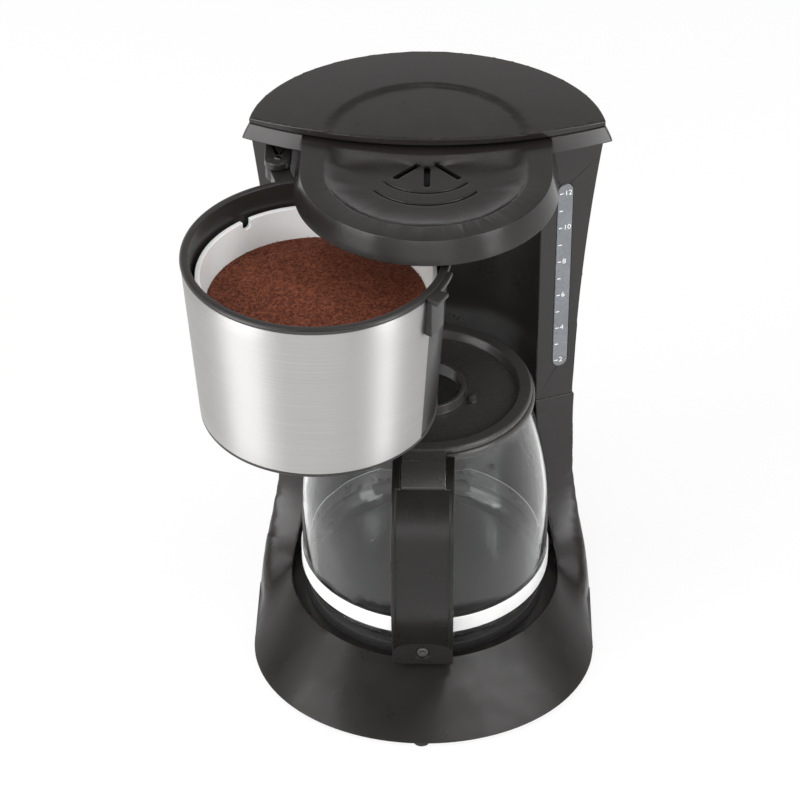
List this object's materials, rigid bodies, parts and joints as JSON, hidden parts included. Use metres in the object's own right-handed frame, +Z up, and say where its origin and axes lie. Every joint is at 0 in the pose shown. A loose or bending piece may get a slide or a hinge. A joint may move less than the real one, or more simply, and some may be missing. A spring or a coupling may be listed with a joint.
{
  "type": "drip coffee maker",
  "caption": "Upright drip coffee maker with a swing-out steel-wrapped filter basket, domed tank lid, clear level window, round brew head and a glass jug on a hot plate.",
  "frame": {"origin": "bottom centre of the whole outline, basket swung out as in the picture", "axes": "+Z up, -Y to the front where the jug comes out, +X to the right column with the level window"},
  "size_m": [0.221, 0.2355, 0.2958],
  "materials": {
    "black_plastic": "satin charcoal moulding",
    "switch_black": "smooth",
    "brushed_steel": "brushed round the basket",
    "bright_steel": "polished",
    "screw_steel": "dark plated steel",
    "jug_glass": "clear",
    "window_clear": "clear, a little blue",
    "filter_white": "white, a little see-through",
    "coffee": "loose ground coffee",
    "rubber_black": "matt",
    "silicone": "milky",
    "inner_plastic": "plain moulding",
    "coated_plate": "non-stick coat",
    "heater_metal": "as cast",
    "fuse": "plain",
    "wire": "heat-proof sleeve"
  },
  "bodies": {
    "stand": {"base_housing": "black_plastic", "base_plate": "inner_plastic", "base_screws": "screw_steel", "rubber_feet": "rubber_black", "tower_housing": "black_plastic", "tower_screws": "screw_steel", "water_tank": "inner_plastic", "level_window": "window_clear", "lid_hinge_pins": "bright_steel", "head_cover": "black_plastic", "head_screws": "screw_steel", "spray_pan": "inner_plastic", "spray_pipe": "inner_plastic", "hot_plate": "coated_plate", "plate_seal": "rubber_black", "heater_casting": "heater_metal", "water_tube": "heater_metal", "heating_element": "heater_metal", "heater_clamp": "heater_metal", "clamp_screws": "screw_steel", "thermostat": "heater_metal", "thermal_fuse": "fuse", "riser_hose": "silicone", "inlet_hose": "silicone", "check_valve": "inner_plastic", "hose_clips": "inner_plastic", "terminal_block": "inner_plastic", "wiring": "wire", "switch_housing": "black_plastic", "cord_gland": "black_plastic", "basket_hinge_pin": "bright_steel"},
    "basket": {"basket_bowl": "black_plastic", "basket_wrap": "brushed_steel", "basket_latch": "black_plastic", "valve_spring": "bright_steel"},
    "filter": {"filter_insert": "filter_white", "coffee_grounds": "coffee"},
    "valve": {"valve_plunger": "inner_plastic", "valve_seal": "silicone", "valve_foot": "inner_plastic"},
    "lid": {"tank_lid": "black_plastic"},
    "rocker": {"switch_rocker": "switch_black"},
    "jug": {"jug_glass": "jug_glass", "jug_band": "bright_steel", "jug_collar": "black_plastic", "jug_handle": "black_plastic", "handle_screw": "screw_steel", "jug_lid_pin": "bright_steel"},
    "jug_cover": {"jug_lid": "black_plastic"}
  },
  "joints": [
    {"name": "basket_swing", "type": "hinge", "parent": "stand", "child": "basket", "pos_m": [-0.06515, 0.0321, 0.23], "axis": [0, 0, 1], "range_deg": [-55, 55]},
    {"name": "filter_lift", "type": "slide", "parent": "basket", "child": "filter", "axis": [0, 0, 1], "range_m": [0, 0.012]},
    {"name": "drip_valve", "type": "slide", "parent": "basket", "child": "valve", "axis": [0, 0, 1], "range_m": [0, 0.004], "stiffness_N_per_m": 300, "springref_m": -0.004, "deforming": ["valve_spring"]},
    {"name": "tank_lid_hinge", "type": "hinge", "parent": "stand", "child": "lid", "pos_m": [0.01285, 0.1048, 0.287], "axis": [-1, 0, 0], "range_deg": [0, 75]},
    {"name": "power_switch", "type": "hinge", "parent": "stand", "child": "rocker", "pos_m": [0.07307, 0.08308, 0.06], "axis": [0.7431, -0.6691, 0], "range_deg": [0, 14]},
    {"name": "jug_slide", "type": "slide", "parent": "stand", "child": "jug", "axis": [0, -1, 0], "range_m": [0, 0.25]},
    {"name": "jug_lid_hinge", "type": "hinge", "parent": "jug", "child": "jug_cover", "pos_m": [0.01285, -0.0602, 0.144], "axis": [1, 0, 0], "range_deg": [0, 10]}
  ]
}
